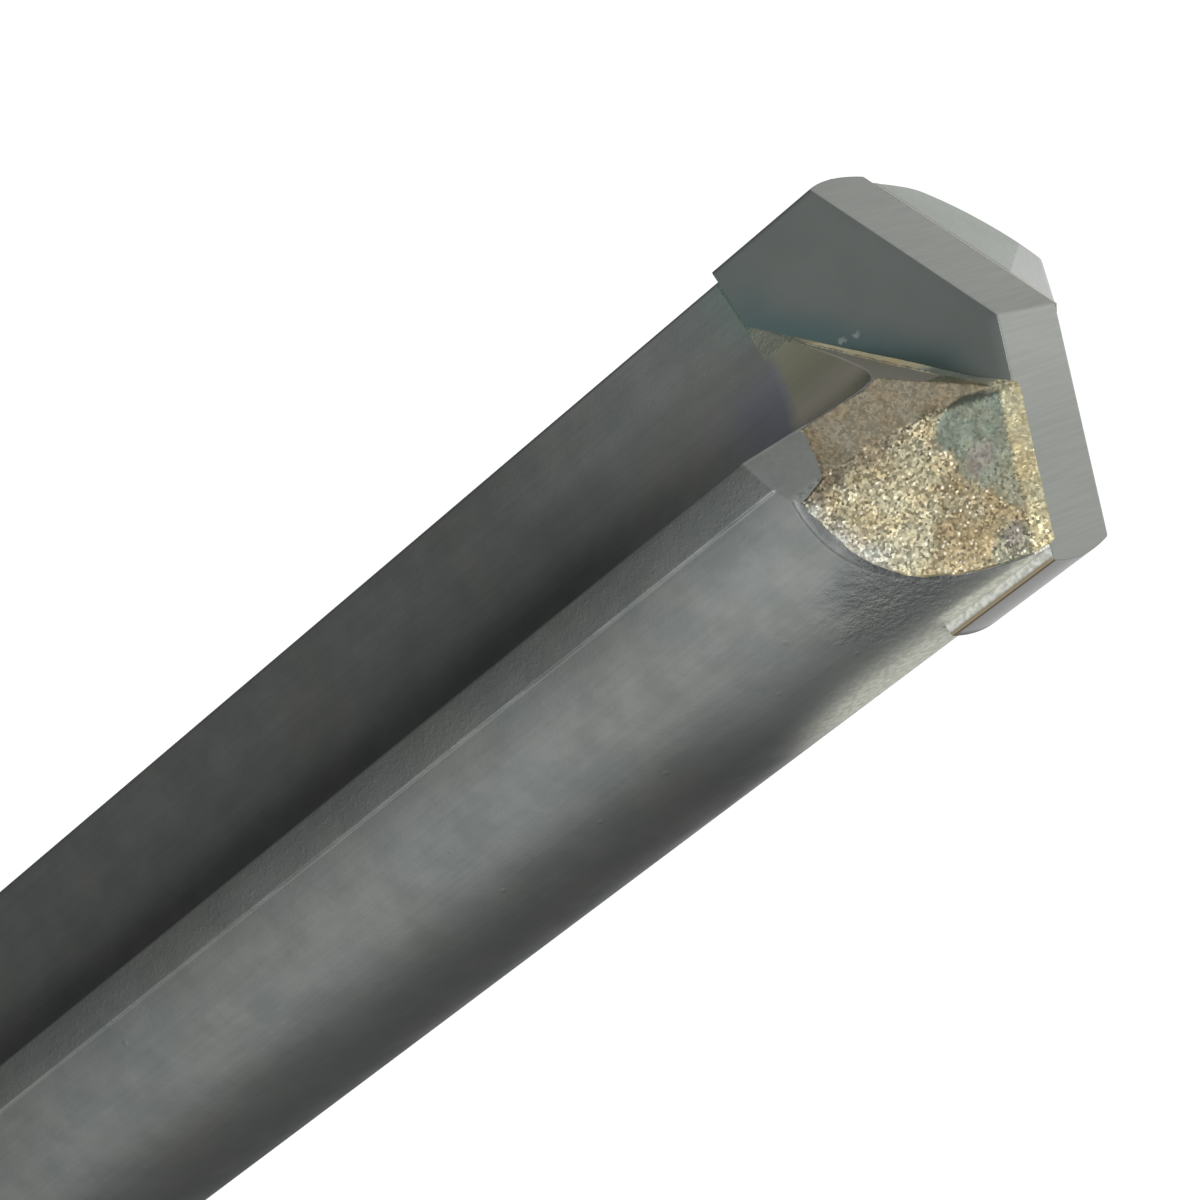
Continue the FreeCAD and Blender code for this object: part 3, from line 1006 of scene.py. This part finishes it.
def paint_plate(piece):
    """Ground flanks, heat tint above the gash, painted shading, the stained outer corner beside the near
    land with a painted sheen on the near face there, and painted glare on the end faces.
    """
    places, normals = vertex_places(piece)
    x, y, z = places.T
    ground = ramp(0.3, 0.6, normals[:, 2])
    near_face = (1 - ground) * (y < -half_plate + 0.03)
    above_gash = z - np.clip(near_gash(x, y), plate_bottom, corner_z) + ragged(x, z, 1.5, 111, 0.1)
    warmed = fall(0.15, 1.45, above_gash) * (0.3 + 0.7 * ramp(-4.5, -3.0, x))
    paint(piece, ground=ground, warmed=near_face * (x < 2) * warmed)

    second = ground * ramp(-0.05, 0.05, near_flank(x, y) - far_flank(x, y))
    # Painted shading: the first flank a little darker towards plus X, the second flank lighter, and the rake
    # face darker towards plus X.
    first_tone = 1 - 0.09 * ramp(-1.5, 0.3, x)
    second_tone = 1.14 + 0.18 * fall(0.2, 2.8, x)
    flank_tone = first_tone + (second_tone - first_tone) * second
    rake_tone = 1.08 - 0.2 * ramp(-4.0, 0.5, x)
    paint(piece, tone=np.where(ground > 0.5, flank_tone, rake_tone) / highest_tone)

    # A painted sheen on the near face's outer strip, painted glare that makes the end faces pale, and a
    # brown stain at the very corner.
    corner = (1 - ground) * (x > 4.5)
    stain = corner * ramp(4.75, 4.79, x) * (y < -half_plate + 0.12)
    polished = (1 - ground) * (np.abs(normals[:, 0]) > 0.75) * (1 - stain)
    paint(piece, stain=stain, polished=polished, residue=corner * (1 - stain) * near_face)


# Camera, floor and light

# View fitted to the corners of the plate
camera_place = (15.05, -87.10, 167.17)
camera_right = (0.53867, 0.54614, 0.64153)
camera_down = (0.82929, -0.20933, -0.51813)
camera_forward = (-0.14867, 0.81112, -0.56567)
focal_pixels = 4616
picture_pixels = 1200
sensor_width = 36


def place_camera():
    """The camera at the photo's viewpoint, with its axes as the matrix's columns."""
    data = bpy.data.cameras.new("camera")
    data.sensor_width = sensor_width
    data.lens = sensor_width * focal_pixels / picture_pixels
    data.clip_start, data.clip_end = 0.005, 20
    camera = new_object("camera", data)
    up = [-v for v in camera_down]
    back = [-v for v in camera_forward]
    place = [v * MM for v in camera_place]
    camera.matrix_world = Matrix([*zip(camera_right, up, back, place), (0, 0, 0, 1)])
    bpy.context.scene.camera = camera


def seen_background(f):
    """1 for rays that see the background: straight, mirrored or through glass."""
    path = f.tree.nodes.new("ShaderNodeLightPath").outputs
    seen = f.math("ADD", path["Is Camera Ray"], path["Is Glossy Ray"])
    return f.math("ADD", seen, path["Is Transmission Ray"], clamp=True)


def stage_piece(name, points, faces, material):
    mesh = bpy.data.meshes.new(name)
    mesh.from_pydata((np.array(points) * MM).tolist(), [], np.array(faces).tolist())
    mesh.materials.append(material)
    piece = new_object(name, mesh)
    return piece


def pale_floor():
    """A matt floor that glows a little where it is seen, so that it shows white with a soft shadow."""
    f = Finish("pale floor")
    glow_level = f.product(seen_background(f), 0.55)
    matt = f.node("BsdfDiffuse", {"Color": (0.85, 0.85, 0.85, 1)})
    glow = f.node("Emission", {"Color": (1, 1, 1, 1), "Strength": glow_level})
    f.end(f.node("AddShader", {0: matt, 1: glow}))
    side = 3000
    corners = [(-side, -side, 0), (side, -side, 0), (side, side, 0), (-side, side, 0)]
    stage_piece("floor", corners, [(0, 1, 2, 3)], f.material)


def direction(azimuth, elevation):
    turn, rise = math.radians(azimuth), math.radians(elevation)
    return (math.cos(rise) * math.cos(turn), math.cos(rise) * math.sin(turn), math.sin(rise))


# Soft lights on the tent's cloth: azimuth from X, elevation, level and how tightly each is gathered
tent_glows = [(-49, -15, 0.78, 3.0), (90, 21, 0.84, 3.0), (-110, 60, 0.35, 2.0), (96, -34, 1.3, 40.0)]
tent_level = 0.17
tent_centre = (0, 0, 110.0)
tent_radius = 109.0
TENT_TURNS = 48
TENT_RISES = 25


def light_tent():
    """A round cloth tent that only reflections show, lit softly from the right and from behind.

    Its glow is a plain level and a sum of glows, each a power of the cosine from its middle.
    """
    f = Finish("tent cloth")
    towards = f.vector("NORMALIZE", f.vector("SUBTRACT", f.place, tent_centre))
    total = tent_level
    for azimuth, elevation, level, gathered in tent_glows:
        facing = f.vector("DOT_PRODUCT", towards, direction(azimuth, elevation), 1)
        glow = f.math("POWER", f.math("MAXIMUM", facing, 0.0), gathered)
        total = f.math("ADD", f.product(glow, level), total)
    f.end(f.node("Emission", {"Color": (1, 1, 1, 1), "Strength": total}))
    turns = np.linspace(0, 2 * math.pi, TENT_TURNS + 1)[:-1]
    turn, rise = np.meshgrid(turns, np.linspace(-math.pi / 2, math.pi / 2, TENT_RISES))
    shape = np.stack([np.cos(rise) * np.cos(turn), np.cos(rise) * np.sin(turn), np.sin(rise)], -1)
    points = shape * tent_radius + np.array(tent_centre)
    faces = grid_faces(TENT_RISES, TENT_TURNS, True)
    tent = stage_piece("light_tent", points.reshape(-1, 3), faces, f.material)
    tent.visible_camera = tent.visible_diffuse = tent.visible_shadow = False
    tent.visible_transmission = tent.visible_volume_scatter = False


def area_lamp(name, azimuth, elevation, distance, size, power):
    """A soft square lamp that faces the head."""
    data = bpy.data.lights.new(name, "AREA")
    data.energy, data.size = power, size * MM
    lamp = new_object(name, data)
    towards = Vector(direction(azimuth, elevation))
    lamp.location = (towards * distance + Vector(tent_centre)) * MM
    lamp.rotation_euler = towards.to_track_quat("Z", "Y").to_euler()
    lamp.visible_camera = False


def plain_world():
    world = bpy.data.worlds.new("studio")
    bpy.context.scene.world = world
    world.use_nodes = True
    world.node_tree.nodes["Background"].inputs["Color"].default_value = (0.62, 0.62, 0.62, 1)


# The object's pieces

body = steel_body()
plate = hard_plate()
coat = braze_coat()
paint_steel(body)
paint_plate(plate)
paint_coat(coat)
body.data.materials.append(steel_finish())
plate.data.materials.append(carbide_finish())
coat.data.materials.append(coat_finish())
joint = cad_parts["braze_joint"]
joint.data.materials.clear()
joint.data.materials.append(joint_finish())
for piece, node, slot in ((body, "drill_body", "body_steel"), (plate, "carbide_tip", "carbide")):
    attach(piece, "root")
    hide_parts(node)
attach(coat, "root")

# The studio

place_camera()
bpy.context.scene.view_settings.view_transform = "Standard"
plain_world()
pale_floor()
light_tent()
area_lamp("key lamp", azimuth=-60, elevation=38, distance=100, size=40, power=0.02)
